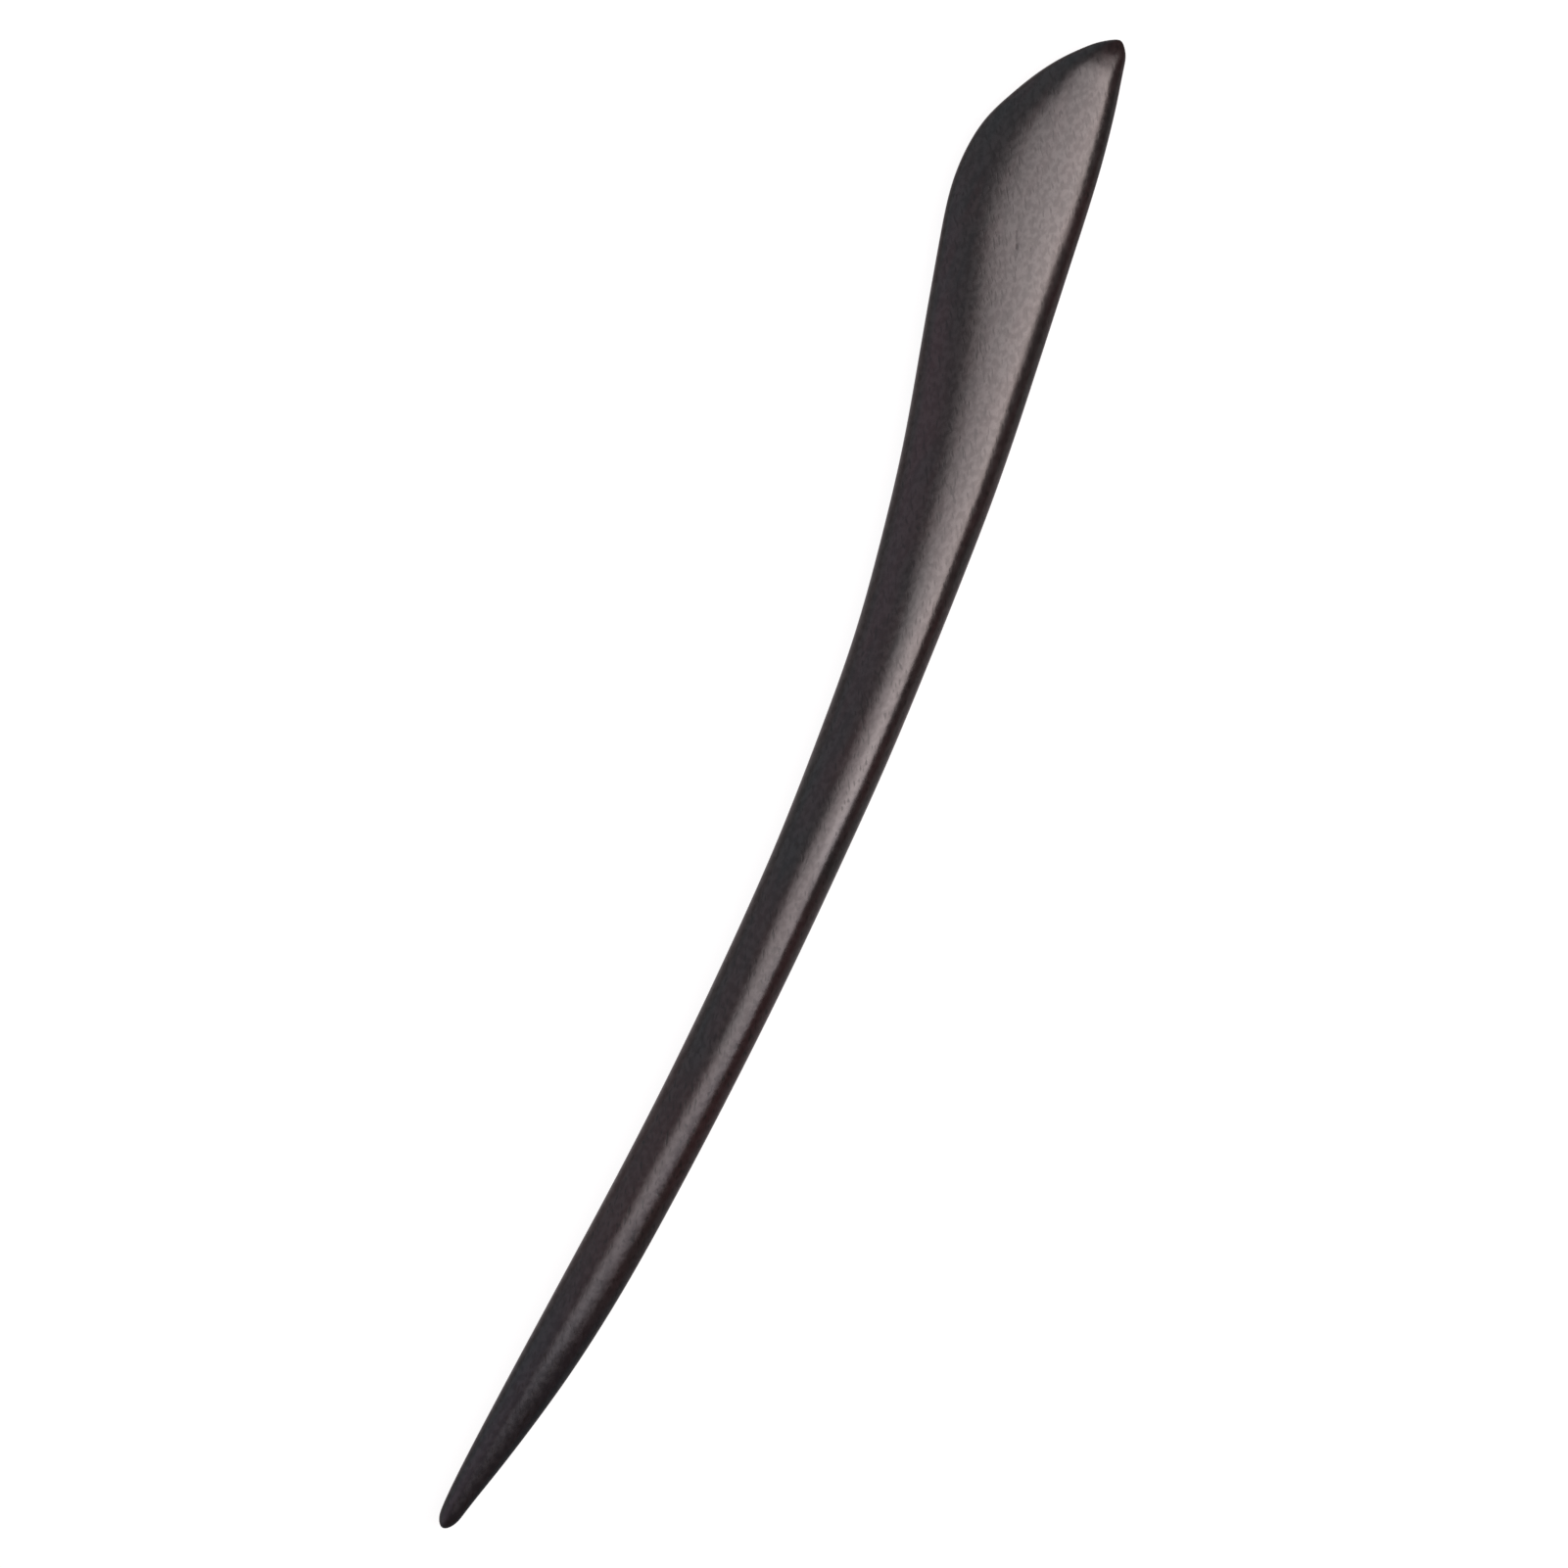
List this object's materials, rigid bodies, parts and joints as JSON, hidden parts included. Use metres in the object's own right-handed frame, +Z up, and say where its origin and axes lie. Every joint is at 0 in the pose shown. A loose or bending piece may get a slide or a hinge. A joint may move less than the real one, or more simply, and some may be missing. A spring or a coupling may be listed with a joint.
{
  "type": "hair stick",
  "caption": "One-piece carved wooden hair stick: a bowed, tapering shaft with a rounded point and a flattened, slanted head.",
  "frame": {"origin": "on the table, under the middle of the stick's box", "axes": "+X from the point to the head along the stick's length, +Z up out of the face, -Y the side that the shaft bows out to"},
  "size_m": [0.18, 0.0196, 0.0061],
  "materials": {
    "wood": "near-black hardwood, sanded fine and oiled to a soft satin"
  },
  "bodies": {
    "root": {"stick": "wood"}
  },
  "joints": []
}
